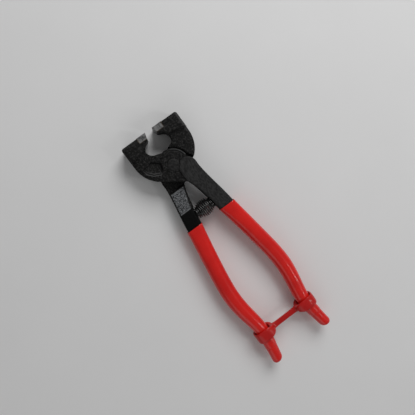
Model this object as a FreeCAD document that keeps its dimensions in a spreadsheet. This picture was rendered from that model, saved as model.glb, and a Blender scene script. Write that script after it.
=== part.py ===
# Mosaic glass nippers: two identical forged halves on one rivet, carbide jaws,
# return spring, dipped grips and a moulded keeper strap. Millimetres, +Z up.
# The tool lies flat: jaws towards +Y, handles towards -Y, rivet axis along Z.
# Every piece is drawn in the pivot frame (rivet axis through 0,0 and the lap
# plane at z = 0) and its Placement sets it down on the ground plane z = 0.
import FreeCAD, Part
import math
import os
import Sketcher

V = FreeCAD.Vector

# name, value, what it is
DIMENSIONS = [
    ("overall_length", 185.5, "front of the jaws to the handle tips"),
    ("front_reach", 28.0, "pivot to the front face of the jaws"),
    ("lap_thickness", 6.5, "thickness of one half at the joint"),
    ("lap_radius", 11.3, "radius of the round lap"),
    ("lap_edge", 1.2, "bevel of the lap's outer edge"),
    ("lap_gap", 0.1, "running gap between the two laps"),
    ("recess_radius", 11.65, "radius of the recess round the other lap, at the lap plane"),
    ("recess_bevel", 1.0, "bevel round the recess at the outer face"),
    ("jaw_width", 16.5, "jaw size along the rivet axis at the front"),
    ("jaw_side", 22.3, "outer side of a jaw from the middle"),
    ("jaw_corner", 1.6, "radius of the jaw's outer front corner"),
    ("jaw_round", 21.0, "radius of the jaw's rounded flank"),
    ("flank_top", 12.5, "where the rounded flank starts"),
    ("flank_bevel", 1.3, "bevel of the jaw's flank at its outer faces"),
    ("neck_side", 14.8, "neck corner from the middle"),
    ("neck_drop", 3.2, "neck corner behind the pivot"),
    ("throat_side", 4.6, "foot of the throat from the middle"),
    ("throat_foot", 12.1, "foot of the throat ahead of the pivot"),
    ("throat_floor_x", 1.2, "end of the throat's floor on the lap, past the middle"),
    ("throat_floor_y", 10.0, "that end ahead of the pivot"),
    ("throat_radius", 5.3, "radius of the throat's side"),
    ("throat_waist", 9.78, "widest point of the throat from the middle"),
    ("throat_middle", 17.6, "that point ahead of the pivot"),
    ("throat_lip", 5.2, "front end of the throat's side from the middle"),
    ("throat_top", 22.65, "front end of the throat's side ahead of the pivot"),
    ("tip_gap", 5.6, "gap between the cutting edges as the strap holds them"),
    ("tip_relief", 1.1, "how far the cutting face falls back behind its edge"),
    ("tip_length", 6.9, "carbide along the front of the jaw"),
    ("tip_depth", 4.0, "carbide from front to back"),
    ("tip_width", 15.9, "carbide along the rivet axis"),
    ("tip_heel", 0.4, "jaw metal that shows behind the carbide's heel"),
    ("braze_gap", 0.2, "thickness of the braze shim"),
    ("flare_foot", 15.4, "foot of the jaw's wide front, at its outer side"),
    ("flare_bevel", 1.5, "bevel of the wide front's foot and outer side"),
    ("far_foot_radius", 6.85, "hollow at the end of the part of the jaw that crosses the lap plane"),
    ("far_foot_x", 10.0, "inner end of that hollow from the middle"),
    ("far_foot_y", 1.5, "inner end of that hollow ahead of the pivot"),
    ("panel_depth", 0.7, "depth of the panel in the jaw's flank"),
    ("panel_bow", 16.0, "radius of the panel's outer side"),
    ("mark_x", -5.0, "punch mark from the middle"),
    ("mark_y", 8.6, "punch mark ahead of the pivot"),
    ("mark_diameter", 2.2, "diameter of the punch mark"),
    ("mark_depth", 0.4, "depth of the punch mark"),
    ("arm_root_radius", 6.45, "rounded end of the arm on the lap"),
    ("arm_root_x", 7.45, "centre of that end from the middle"),
    ("arm_root_y", 6.2, "centre of that end behind the pivot"),
    ("arm_proud", 0.8, "how far the arm stands above the lap"),
    ("root_inset", 0.6, "how far the arm's root stays inside the arm"),
    ("root_shoulder", 4.0, "straight side of the arm's root behind its rounded end"),
    ("root_overlap", 1.0, "how far the arm's root runs into the arm"),
    ("apex_x", 0.4, "crotch of the half from the middle"),
    ("apex_y", 14.0, "crotch of the half behind the pivot"),
    ("rivet_shank", 6.9, "rivet shank diameter"),
    ("rivet_bore", 7.0, "bore for the rivet"),
    ("rivet_head", 8.3, "rivet head diameter"),
    ("rivet_sink", 1.2, "depth of the countersink"),
    ("rivet_dome", 0.35, "rise of the rivet head"),
    ("rivet_rim", 1.0, "width of the slope round the rivet head"),
    ("rivet_play", 0.05, "gap between the rivet head and its countersink"),
    ("countersink_clear", 3.0, "height cleared over the countersink"),
    ("spring_y", 36.0, "spring axis behind the pivot"),
    ("spring_mid", 12.4, "spring diameter in the middle"),
    ("spring_end", 9.0, "spring diameter at its ends"),
    ("spring_bore", 6.4, "bore of the spring"),
    ("spring_long", 13.6, "spring length as the strap holds it"),
    ("spring_belly", 2.4, "half the length of the spring's widest part"),
    ("spring_seat", 10.6, "diameter of the flat that the spring bears on"),
    ("peg_diameter", 5.0, "spring peg diameter"),
    ("peg_sunk", 3.0, "peg length in the arm"),
    ("peg_out", 3.2, "peg length inside the spring"),
    ("peg_bevel", 0.6, "bevel of the peg's end"),
    ("peg_floor", 0.02, "room under the peg"),
    ("arm_face", 6.9, "the spring's seat in the arm, from the middle"),
    ("grip_end_round", 3.2, "rounding of the grip's tip"),
    ("strap_y", 134.0, "keeper strap behind the pivot"),
    ("strap_inner_side", 9.8, "inner side of a strap ring from the middle"),
    ("strap_outer_side", 25.7, "outer side of a strap ring from the middle"),
    ("strap_hole_low", 12.5, "inner side of a strap ring's hole from the middle"),
    ("strap_hole_high", 24.2, "outer side of a strap ring's hole from the middle"),
    ("strap_hole_tall", 10.4, "height of a strap ring's hole"),
    ("strap_ring_tall", 13.4, "height of a strap ring"),
    ("strap_ring_long", 8.0, "strap ring along the handle"),
    ("strap_hole_corner", 4.0, "corner radius of a strap ring's hole"),
    ("strap_ring_corner", 5.5, "corner radius of a strap ring"),
    ("strap_bar_root", 0.75, "how far the band runs into a ring"),
    ("strap_bar_high", 3.9, "width of the strap between the rings"),
    ("strap_bar_thick", 2.4, "thickness of the strap between the rings"),
]

# Corners of the panel in the jaw's flank: name, from the middle, ahead of the pivot.
PANEL_CORNERS = [
    ("outer_top", -18.6, 9.2),
    ("outer_low", -18.1, 5.2),
    ("low", -10.4, -0.6),
    ("inner_low", -7.6, 2.0),
    ("inner_top", -6.5, 5.8),
    ("top", -10.9, 9.9),
]

# Sections across the handle: name, distance behind the pivot, middle x, width,
# middle z, thickness, corner radius on the inner side and on the outer side.
SECTION_CELLS = ("back", "mid", "wide", "level", "thick", "inner", "outer")
ARM_SECTIONS = [
    ("root", 14.9, 8.05, 12.9, 2.9, 8.8, 1.1, 1.1),
    ("crotch", 23.5, 10.05, 11.7, 2.2, 8.8, 1.6, 1.1),
    ("shank", 33.5, 11.9, 11.7, 1.2, 8.8, 2.3, 1.3),
    ("collar", 46.0, 13.95, 10.9, 0.9, 8.8, 2.3, 2.1),
]
TANG_SECTIONS = [
    ("step", 46.0, 13.95, 8.6, 0.9, 6.8, 2.0, 2.0),
    ("upper", 70.0, 18.3, 8.0, 0.8, 6.6, 2.0, 2.0),
    ("swell", 101.0, 21.9, 7.6, 0.2, 6.2, 2.0, 2.0),
    ("waist", 130.0, 18.8, 6.2, 0.0, 5.4, 2.0, 2.0),
    ("tip", 149.0, 21.2, 4.6, 0.0, 4.6, 2.0, 2.0),
]
GRIP_SECTIONS = [
    ("mouth", 43.0, 13.65, 12.3, 0.9, 10.2, 2.8, 2.8),
    ("upper", 60.0, 16.65, 12.0, 0.9, 10.6, 4.2, 4.2),
    ("middle", 80.0, 19.9, 11.8, 0.5, 10.8, 4.6, 4.6),
    ("swell", 101.0, 21.9, 11.5, 0.2, 10.6, 4.5, 4.5),
    ("lower", 118.0, 20.2, 10.9, 0.0, 10.2, 4.4, 4.4),
    ("waist", 130.5, 18.75, 10.0, 0.0, 9.6, 4.2, 4.2),
    ("collar", 143.5, 19.85, 9.2, 0.0, 8.9, 4.0, 4.0),
    ("tip", 157.5, 22.1, 8.3, 0.0, 8.0, 3.7, 3.7),
]

# How near two numbers are when they mean the same place.
SAME = 0.01


def make_sheet(doc):
    """The driving dimensions, one named cell each."""
    sheet = doc.addObject("Spreadsheet::Sheet", "Dims")
    rows = list(DIMENSIONS)
    for name, x, y in PANEL_CORNERS:
        rows.append((f"panel_{name}_x", x, "panel corner from the middle"))
        rows.append((f"panel_{name}_y", y, "panel corner ahead of the pivot"))
    for prefix, sections in (("arm", ARM_SECTIONS), ("tang", TANG_SECTIONS), ("grip", GRIP_SECTIONS)):
        for section in sections:
            for part_name, number in zip(SECTION_CELLS, section[1:]):
                rows.append((f"{prefix}_{section[0]}_{part_name}", number, "section of the " + prefix))
    for row, (alias, number, note) in enumerate(rows, start=1):
        sheet.set(f"A{row}", alias)
        sheet.set(f"B{row}", str(number))
        sheet.set(f"C{row}", note)
        sheet.setAlias(f"B{row}", alias)
    doc.recompute()
    return sheet


def value(expression):
    """The number that an expression on the sheet gives."""
    result = FreeCAD.ActiveDocument.Dims.evalExpression(expression)
    return float(getattr(result, "Value", result))


def new_sketch(body, name, role, offset=None):
    """A sketch on one of the body's own planes, moved along its normal."""
    sketch = body.newObject("Sketcher::SketchObject", name)
    plane = next(item for item in body.Origin.OriginFeatures if item.Role == role)
    sketch.AttachmentSupport = [(plane, "")]
    sketch.MapMode = "FlatFace"
    if offset:
        sketch.setExpression("AttachmentOffset.Base.z", offset)
    return sketch


def arc_edge(start, end, radius, side):
    """The short arc from start to end; its centre is on the left if side > 0."""
    chord = end - start
    middle = (start + end) * 0.5
    normal = V(-chord.y, chord.x, 0).normalize()
    rise = math.sqrt(max(radius ** 2 - (chord.Length / 2) ** 2, 0.0))
    centre = middle + normal * rise * side
    first, last = (start, end) if side > 0 else (end, start)
    angles = [math.atan2(point.y - centre.y, point.x - centre.x) for point in (first, last)]
    return Part.ArcOfCircle(Part.Circle(centre, V(0, 0, 1), radius), angles[0], angles[1])


def draw_outline(sketch, vertices):
    """A closed outline whose corners and radii are bound to the sheet.

    A vertex is (x, y) or (x, y, radius, side): radius and side bend the edge
    that leaves it, with the arc's centre on the left of the way if side is 1.
    """
    points = [V(value(item[0]), value(item[1]), 0) for item in vertices]
    ends = []
    for index, item in enumerate(vertices):
        start, end = points[index], points[(index + 1) % len(points)]
        if len(item) == 2:
            edge = sketch.addGeometry(Part.LineSegment(start, end))
            ends.append((edge, 1, 2))
            continue
        edge = sketch.addGeometry(arc_edge(start, end, value(item[2]), item[3]))
        ends.append((edge, 1, 2) if item[3] > 0 else (edge, 2, 1))
    for index, item in enumerate(vertices):
        edge, first, _ = ends[index]
        before, _, last = ends[index - 1]
        sketch.addConstraint(Sketcher.Constraint("Coincident", before, last, edge, first))
        for kind, text in (("DistanceX", item[0]), ("DistanceY", item[1])):
            number = sketch.addConstraint(
                Sketcher.Constraint(kind, -1, 1, edge, first, value(text)))
            sketch.setExpression(f"Constraints[{number}]", text)
        if len(item) > 2:
            number = sketch.addConstraint(Sketcher.Constraint("Radius", edge, value(item[2])))
            sketch.setExpression(f"Constraints[{number}]", item[2])
    return sketch


def draw_circle(sketch, x, y, diameter):
    """A circle at (x, y) bound to the sheet."""
    centre = V(value(x), value(y), 0)
    edge = sketch.addGeometry(Part.Circle(centre, V(0, 0, 1), value(diameter) / 2))
    number = sketch.addConstraint(Sketcher.Constraint("Diameter", edge, value(diameter)))
    sketch.setExpression(f"Constraints[{number}]", diameter)
    for kind, text in (("DistanceX", x), ("DistanceY", y)):
        number = sketch.addConstraint(Sketcher.Constraint(kind, -1, 1, edge, 3, value(text)))
        sketch.setExpression(f"Constraints[{number}]", text)
    return sketch


def rounded_box(low_x, low_y, high_x, high_y, low_round, high_round):
    """Vertices of a rectangle with rounded corners, as expressions."""
    return [
        (f"{low_x} + {low_round}", low_y),
        (f"{high_x} - {high_round}", low_y, high_round, 1),
        (high_x, f"{low_y} + {high_round}"),
        (high_x, f"{high_y} - {high_round}", high_round, 1),
        (f"{high_x} - {high_round}", high_y),
        (f"{low_x} + {low_round}", high_y, low_round, 1),
        (low_x, f"{high_y} - {low_round}"),
        (low_x, f"{low_y} + {low_round}", low_round, 1),
    ]


def pad(body, sketch, length, name, reverse=False, middle=False):
    """Grow a sketch into the solid."""
    feature = body.newObject("PartDesign::Pad", name)
    feature.Profile = sketch
    feature.setExpression("Length", length)
    feature.Reversed = reverse
    feature.Midplane = middle
    body.Document.recompute()
    return feature


def pocket(body, sketch, length, name, reverse=False, middle=False):
    """Cut a sketch out of the solid and make sure that it cuts."""
    before = body.Shape.Volume
    feature = body.newObject("PartDesign::Pocket", name)
    feature.Profile = sketch
    feature.setExpression("Length", length)
    feature.Reversed = reverse
    feature.Midplane = middle
    body.Document.recompute()
    if body.Shape.Volume > before - SAME:
        raise RuntimeError(name + " cuts nothing")
    return feature


def revolve(body, sketch, name, kind="PartDesign::Revolution"):
    """Turn a sketch about its own upright axis."""
    feature = body.newObject(kind, name)
    feature.Profile = sketch
    feature.ReferenceAxis = (sketch, ["V_Axis"])
    feature.Angle = 360
    body.Document.recompute()
    return feature


def section_sketches(body, prefix, sections):
    """Rounded sections across the handle, one sketch each."""
    sketches = []
    for section in sections:
        base = f"{prefix}_{section[0]}"
        back, mid, wide, level, thick, inner, outer = (f"Dims.{base}_{name}" for name in SECTION_CELLS)
        sketch = new_sketch(body, base, "XZ_Plane", back)
        draw_outline(sketch, rounded_box(f"{mid} - {wide} / 2", f"{level} - {thick} / 2",
                                         f"{mid} + {wide} / 2", f"{level} + {thick} / 2", inner, outer))
        sketches.append(sketch)
    return sketches


def loft(body, sketches, name, kind="PartDesign::AdditiveLoft"):
    """One smooth skin through the sections."""
    feature = body.newObject(kind, name)
    feature.Profile = sketches[0]
    feature.Sections = sketches[1:]
    body.Document.recompute()
    return feature


def new_body(doc, label):
    """An empty body whose label names its file."""
    body = doc.addObject("PartDesign::Body", label)
    body.Label = label
    return body


def set_down(body, flipped):
    """Put a piece in the part's frame; the lower half's pieces are turned over."""
    turn = FreeCAD.Rotation(V(0, 1, 0), 180 if flipped else 0)
    body.Placement = FreeCAD.Placement(V(0, 0, 0), turn)
    body.setExpression("Placement.Base.y", "Dims.overall_length / 2 - Dims.front_reach")
    body.setExpression("Placement.Base.z", "Dims.jaw_width / 2")


def jaw_outline(foot):
    """Plan of a jaw as vertices; foot closes it, from its outer side to the throat."""
    return [
        ("-Dims.tip_gap / 2", "Dims.front_reach"),
        ("-Dims.jaw_side + Dims.jaw_corner", "Dims.front_reach", "Dims.jaw_corner", 1),
        ("-Dims.jaw_side", "Dims.front_reach - Dims.jaw_corner"),
    ] + foot + [
        ("-Dims.throat_waist", "Dims.throat_middle", "Dims.throat_radius", -1),
        ("-Dims.throat_lip", "Dims.throat_top"),
        ("-Dims.tip_gap / 2 - Dims.tip_relief", "Dims.front_reach - Dims.tip_depth - Dims.tip_heel"),
    ]


def add_jaw(body):
    """The jaw: on its own side of the lap plane, across it, and its wide front."""
    throat_foot = ("-Dims.throat_side", "Dims.throat_foot", "Dims.throat_radius", -1)
    near_foot = [
        ("-Dims.jaw_side", "Dims.flank_top", "Dims.jaw_round", 1),
        ("-Dims.neck_side", "-Dims.neck_drop"),
        ("-Dims.lap_radius / 2", "-Dims.lap_radius / 2"),
        ("Dims.throat_floor_x", "Dims.throat_floor_y"),
        throat_foot,
    ]
    near = draw_outline(new_sketch(body, "jaw_near_plan", "XY_Plane", "Dims.lap_gap / 2"),
                        jaw_outline(near_foot))
    solid = pad(body, near, "Dims.lap_thickness - Dims.lap_gap / 2", "jaw_near")
    bevel_flank(body, solid, value("Dims.lap_thickness"), "jaw_near_bevel")

    far_foot = [
        ("-Dims.jaw_side", "Dims.flank_top", "Dims.jaw_round", 1),
        ("-Dims.neck_side", "-Dims.neck_drop", "Dims.far_foot_radius", -1),
        ("-Dims.far_foot_x", "Dims.far_foot_y"),
        ("-Dims.lap_radius / 2", "Dims.far_foot_y"),
        ("-Dims.lap_radius / 2", "Dims.lap_radius / 2"),
        throat_foot,
    ]
    far = draw_outline(new_sketch(body, "jaw_far_plan", "XY_Plane", "Dims.lap_gap / 2"),
                       jaw_outline(far_foot))
    solid = pad(body, far, "Dims.lap_thickness + Dims.lap_gap / 2", "jaw_far", reverse=True)
    bevel_flank(body, solid, -value("Dims.lap_thickness"), "jaw_far_bevel")

    front = draw_outline(new_sketch(body, "jaw_front_plan", "XY_Plane"),
                         jaw_outline([("-Dims.jaw_side", "Dims.flare_foot")]))
    wide = pad(body, front, "Dims.jaw_width", "jaw_front", middle=True)
    bevel_front(body, wide)


def bevel_flank(body, solid, level, name):
    """Bevel the outer side of the jaw where it meets its face at that level."""
    middle = (value("-Dims.jaw_side") + value("-Dims.neck_side")) / 2
    rims = []
    for number, edge in enumerate(solid.Shape.Edges, start=1):
        box = edge.BoundBox
        on_face = abs(box.ZMin - level) < SAME and box.ZLength < SAME
        on_flank = edge.CenterOfMass.x < middle and box.YMax < value("Dims.flank_top") + SAME
        if on_face and on_flank:
            rims.append(f"Edge{number}")
    bevel = body.newObject("PartDesign::Chamfer", name)
    bevel.Base = (solid, rims)
    bevel.setExpression("Size", "Dims.flank_bevel")
    body.Document.recompute()


def bevel_front(body, wide):
    """Bevel the wide front's foot and outer side, on both faces."""
    top, side = value("Dims.jaw_width / 2"), -value("Dims.jaw_side")
    foot, waist = value("Dims.flare_foot"), value("Dims.throat_middle")
    rims = []
    for number, edge in enumerate(wide.Shape.Edges, start=1):
        box = edge.BoundBox
        flat = abs(abs(box.ZMin) - top) < SAME and box.ZLength < SAME
        on_foot = abs(box.YMin - foot) < SAME and abs(box.YMax - waist) < SAME
        on_side = abs(box.XMin - side) < SAME and box.XLength < SAME
        if flat and (on_foot or on_side):
            rims.append(f"Edge{number}")
    bevel = body.newObject("PartDesign::Chamfer", "jaw_front_bevel")
    bevel.Base = (wide, rims)
    bevel.setExpression("Size", "Dims.flare_bevel")
    body.Document.recompute()


def cut_lap_recess(body):
    """A round recess with a bevelled rim, where the other half's lap turns."""
    sketch = new_sketch(body, "lap_recess_plan", "XZ_Plane")
    draw_outline(sketch, [
        ("0", "Dims.lap_gap / 2"),
        ("0", "-Dims.jaw_width"),
        ("Dims.recess_radius + Dims.recess_bevel", "-Dims.jaw_width"),
        ("Dims.recess_radius + Dims.recess_bevel", "-Dims.lap_thickness"),
        ("Dims.recess_radius", "-Dims.lap_thickness + Dims.recess_bevel"),
        ("Dims.recess_radius", "Dims.lap_gap / 2"),
    ])
    before = body.Shape.Volume
    revolve(body, sketch, "lap_recess", "PartDesign::Groove")
    if body.Shape.Volume > before - 1:
        raise RuntimeError("the lap recess cuts nothing")


def add_lap(body):
    """The round lap, the web behind it and the rounded root of the arm."""
    near = "Dims.lap_thickness - Dims.lap_gap / 2"
    disc = draw_outline(new_sketch(body, "lap_profile", "XZ_Plane"), [
        ("0", "Dims.lap_gap / 2"),
        ("Dims.lap_radius", "Dims.lap_gap / 2"),
        ("Dims.lap_radius", "Dims.lap_thickness - Dims.lap_edge"),
        ("Dims.lap_radius - Dims.lap_edge", "Dims.lap_thickness"),
        ("0", "Dims.lap_thickness"),
    ])
    revolve(body, disc, "lap")
    web = draw_outline(new_sketch(body, "web_plan", "XY_Plane", "Dims.lap_gap / 2"), [
        ("-Dims.neck_side", "-Dims.neck_drop"),
        ("Dims.apex_x", "-Dims.apex_y"),
        ("Dims.arm_root_x", "-Dims.apex_y"),
        ("Dims.arm_root_x", "0"),
        ("-Dims.lap_radius / 2", "Dims.lap_radius / 2"),
    ])
    pad(body, web, near, "web")
    left = "Dims.arm_root_x - Dims.arm_root_radius"
    right = "Dims.arm_root_x + Dims.arm_root_radius"
    overlap = "-Dims.arm_root_back - Dims.root_overlap"
    root = draw_outline(new_sketch(body, "root_plan", "XY_Plane", "Dims.lap_gap / 2"), [
        (right, "-Dims.arm_root_y", "Dims.arm_root_radius", 1),
        ("Dims.arm_root_x", "-Dims.arm_root_y + Dims.arm_root_radius", "Dims.arm_root_radius", 1),
        (left, "-Dims.arm_root_y"),
        (left, "-Dims.apex_y"),
        ("Dims.arm_root_mid - Dims.arm_root_wide / 2 + Dims.root_inset", overlap),
        ("Dims.arm_root_mid + Dims.arm_root_wide / 2", overlap),
        (right, "-Dims.arm_root_y - Dims.root_shoulder"),
    ])
    pad(body, root, "Dims.lap_thickness + Dims.arm_proud - Dims.lap_gap / 2", "arm_root")


def cut_rivet_hole(body):
    """The rivet's bore with a countersink in the outer face."""
    bore = draw_circle(new_sketch(body, "rivet_bore_plan", "XY_Plane"), "0", "0", "Dims.rivet_bore")
    pocket(body, bore, "Dims.jaw_width", "rivet_hole", reverse=True)
    sketch = new_sketch(body, "countersink_plan", "XZ_Plane")
    draw_outline(sketch, [
        ("0", "Dims.lap_thickness - Dims.rivet_sink"),
        ("Dims.rivet_bore / 2", "Dims.lap_thickness - Dims.rivet_sink"),
        ("Dims.rivet_head / 2 + Dims.rivet_play", "Dims.lap_thickness"),
        ("Dims.rivet_head / 2 + Dims.rivet_play", "Dims.lap_thickness + Dims.countersink_clear"),
        ("0", "Dims.lap_thickness + Dims.countersink_clear"),
    ])
    revolve(body, sketch, "countersink", "PartDesign::Groove")


def cut_panel(body):
    """A shallow panel in the jaw's outer face and a round punch mark beside it."""
    corners = [(f"Dims.panel_{name}_x", f"Dims.panel_{name}_y") for name, _, _ in PANEL_CORNERS]
    corners[1] += ("Dims.panel_bow", 1)
    panel = new_sketch(body, "panel_plan", "XY_Plane", "Dims.lap_thickness")
    pocket(body, draw_outline(panel, corners), "Dims.panel_depth", "panel")
    mark = new_sketch(body, "mark_plan", "XY_Plane", "Dims.lap_thickness")
    draw_circle(mark, "Dims.mark_x", "Dims.mark_y", "Dims.mark_diameter")
    pocket(body, mark, "Dims.mark_depth", "punch_mark")


def tip_corner(sign):
    """Back outer corner of the carbide's seat, as expressions."""
    return (f"{sign}(Dims.tip_gap / 2 + Dims.tip_length)", "Dims.front_reach - Dims.tip_depth")


def cut_tip_seat(body):
    """The notch at the front inner corner that takes carbide and braze."""
    side = "-(Dims.tip_gap / 2 + Dims.tip_length + Dims.braze_gap)"
    back = "Dims.front_reach - Dims.tip_depth - Dims.braze_gap"
    front = "Dims.front_reach + Dims.tip_depth"
    seat = draw_outline(new_sketch(body, "tip_seat_plan", "XY_Plane"), [
        ("0", back), ("0", front), (side, front), (side, back),
    ])
    pocket(body, seat, "Dims.jaw_width * 2", "tip_seat", middle=True)


def cut_spring_seat(body):
    """The spring's flat seat in the arm's inner face, and the blind hole for its peg."""
    for name, diameter, reach in (("spring_seat", "Dims.spring_seat", "Dims.arm_face"),
                                  ("peg_hole", "Dims.peg_diameter", "Dims.arm_face + Dims.peg_sunk")):
        plan = draw_circle(new_sketch(body, name + "_plan", "YZ_Plane"),
                           "-Dims.spring_y", "0", diameter)
        pocket(body, plan, reach, name, reverse=True)


def forged_half(doc, label, flipped):
    """One half of the tool: jaw, lap, arm and the tang inside the grip."""
    body = new_body(doc, label)
    add_jaw(body)
    cut_lap_recess(body)
    add_lap(body)
    loft(body, section_sketches(body, "arm", ARM_SECTIONS), "arm")
    loft(body, section_sketches(body, "tang", TANG_SECTIONS), "tang")
    cut_rivet_hole(body)
    cut_panel(body)
    cut_tip_seat(body)
    cut_spring_seat(body)
    set_down(body, flipped)
    return body


def carbide_tip(doc, label, flipped):
    """Brazed carbide with its cutting edge at the front."""
    body = new_body(doc, label)
    side, back = tip_corner("-")
    plan = draw_outline(new_sketch(body, label + "_plan", "XY_Plane"), [
        ("-Dims.tip_gap / 2", "Dims.front_reach"),
        (side, "Dims.front_reach"),
        (side, back),
        ("-Dims.tip_gap / 2 - Dims.tip_relief", back),
    ])
    pad(body, plan, "Dims.tip_width", label + "_pad", middle=True)
    set_down(body, flipped)
    return body


def braze_shim(doc, label, flipped):
    """The L of braze between carbide and jaw."""
    body = new_body(doc, label)
    side, back = tip_corner("-")
    plan = draw_outline(new_sketch(body, label + "_plan", "XY_Plane"), [
        (side, "Dims.front_reach"),
        (side + " - Dims.braze_gap", "Dims.front_reach"),
        (side + " - Dims.braze_gap", back + " - Dims.braze_gap"),
        ("-Dims.tip_gap / 2 - Dims.tip_relief", back + " - Dims.braze_gap"),
        ("-Dims.tip_gap / 2 - Dims.tip_relief", back),
        (side, back),
    ])
    pad(body, plan, "Dims.tip_width", label + "_pad", middle=True)
    set_down(body, flipped)
    return body


def pivot_rivet(doc):
    """A countersunk rivet, headed at both ends."""
    body = new_body(doc, "pivot_rivet")
    sketch = new_sketch(body, "rivet_profile", "XZ_Plane")
    sink = "Dims.lap_thickness - Dims.rivet_sink"
    top = "Dims.lap_thickness + Dims.rivet_dome"
    draw_outline(sketch, [
        ("0", f"-({top})"),
        ("Dims.rivet_head / 2 - Dims.rivet_rim", f"-({top})"),
        ("Dims.rivet_head / 2 - Dims.rivet_play", "-Dims.lap_thickness"),
        ("Dims.rivet_shank / 2", f"-({sink})"),
        ("Dims.rivet_shank / 2", sink),
        ("Dims.rivet_head / 2 - Dims.rivet_play", "Dims.lap_thickness"),
        ("Dims.rivet_head / 2 - Dims.rivet_rim", top),
        ("0", top),
    ])
    revolve(body, sketch, "rivet_turned")
    set_down(body, False)
    return body


def spring_peg(doc, label, flipped):
    """A pin pressed into the arm; the spring's end sits round it."""
    body = new_body(doc, label)
    start = "Dims.arm_face - Dims.peg_out"
    plan = draw_circle(new_sketch(body, label + "_plan", "YZ_Plane", start),
                       "-Dims.spring_y", "0", "Dims.peg_diameter")
    pin = pad(body, plan, "Dims.peg_out + Dims.peg_sunk - Dims.peg_floor", label + "_pin")
    inner = value(start)
    rims = [f"Edge{number}" for number, edge in enumerate(pin.Shape.Edges, start=1)
            if abs(edge.BoundBox.XMax - inner) < SAME]
    bevel = body.newObject("PartDesign::Chamfer", label + "_bevel")
    bevel.Base = (pin, rims)
    bevel.setExpression("Size", "Dims.peg_bevel")
    doc.recompute()
    set_down(body, flipped)
    return body


def return_spring(doc):
    """The outer shape of the barrel spring, with its bore."""
    body = new_body(doc, "return_spring")
    sketch = new_sketch(body, "spring_profile", "XY_Plane")
    half = "Dims.spring_long / 2"
    bore, rim = "-Dims.spring_y + Dims.spring_bore / 2", "-Dims.spring_y + Dims.spring_end / 2"
    draw_outline(sketch, [
        (f"-{half}", bore),
        (half, bore),
        (half, rim),
        ("Dims.spring_belly", "-Dims.spring_y + Dims.spring_mid / 2"),
        ("-Dims.spring_belly", "-Dims.spring_y + Dims.spring_mid / 2"),
        (f"-{half}", rim),
    ])
    axis = new_sketch(body, "spring_axis", "XY_Plane")
    reach, level = value(half), value("-Dims.spring_y")
    line = axis.addGeometry(Part.LineSegment(V(-reach, level, 0), V(reach, level, 0)))
    for end, x in ((1, f"-{half}"), (2, half)):
        for kind, text in (("DistanceX", x), ("DistanceY", "-Dims.spring_y")):
            number = axis.addConstraint(Sketcher.Constraint(kind, -1, 1, line, end, value(text)))
            axis.setExpression(f"Constraints[{number}]", text)
    feature = body.newObject("PartDesign::Revolution", "spring_turned")
    feature.Profile = sketch
    feature.ReferenceAxis = (axis, ["Edge1"])
    feature.Angle = 360
    doc.recompute()
    set_down(body, False)
    return body


def dipped_grip(doc, label, flipped):
    """A dipped sleeve over the tang, with a rounded tip."""
    body = new_body(doc, label)
    skin = loft(body, section_sketches(body, "grip", GRIP_SECTIONS), label + "_skin")
    last = -value("Dims.grip_tip_back")
    rims = [f"Edge{number}" for number, edge in enumerate(skin.Shape.Edges, start=1)
            if edge.BoundBox.YMax < last + SAME]
    tip = body.newObject("PartDesign::Fillet", label + "_tip")
    tip.Base = (skin, rims)
    tip.setExpression("Radius", "Dims.grip_end_round")
    doc.recompute()
    for prefix, sections in (("tang", TANG_SECTIONS), ("arm", ARM_SECTIONS)):
        sketches = section_sketches(body, prefix, sections)
        loft(body, sketches, label + "_" + prefix, "PartDesign::SubtractiveLoft")
    set_down(body, flipped)
    return body


def keeper_strap(doc):
    """Two loose rings round the handles and the flat band between them."""
    body = new_body(doc, "keeper_strap")
    low, high = "-Dims.strap_y - Dims.strap_bar_high / 2", "-Dims.strap_y + Dims.strap_bar_high / 2"
    reach = "Dims.strap_inner_side + Dims.strap_bar_root"
    band = draw_outline(new_sketch(body, "band_plan", "XY_Plane"), [
        (f"-({reach})", low), (reach, low), (reach, high), (f"-({reach})", high),
    ])
    pad(body, band, "Dims.strap_bar_thick", "band", middle=True)
    for name, inner, outer in (("left", "high", "low"), ("right", "low", "high")):
        add_strap_ring(body, name, inner, outer)
    set_down(body, False)
    return body


def add_strap_ring(body, name, first, last):
    """One ring: a rounded tube along the handle, thick where the band joins it."""
    sign = "-" if name == "left" else ""
    sides = {"low": "inner", "high": "outer"}
    ring_round, hole_round = "Dims.strap_ring_corner", "Dims.strap_hole_corner"
    tube = draw_outline(new_sketch(body, name + "_ring_plan", "XZ_Plane", "Dims.strap_y"), rounded_box(
        f"{sign}Dims.strap_{sides[first]}_side", "-Dims.strap_ring_tall / 2",
        f"{sign}Dims.strap_{sides[last]}_side", "Dims.strap_ring_tall / 2", ring_round, ring_round))
    pad(body, tube, "Dims.strap_ring_long", name + "_ring", middle=True)
    hole = draw_outline(new_sketch(body, name + "_hole_plan", "XZ_Plane", "Dims.strap_y"), rounded_box(
        f"{sign}Dims.strap_hole_{first}", "-Dims.strap_hole_tall / 2",
        f"{sign}Dims.strap_hole_{last}", "Dims.strap_hole_tall / 2", hole_round, hole_round))
    pocket(body, hole, "Dims.strap_ring_long * 2", name + "_ring_bore", middle=True)


def check_document(doc):
    """Stop at any object that failed and at any piece that isn't one good solid."""
    for item in doc.Objects:
        if "Invalid" in item.State or "Error" in item.State:
            raise RuntimeError(f"{item.Label} is {item.State}")


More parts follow.
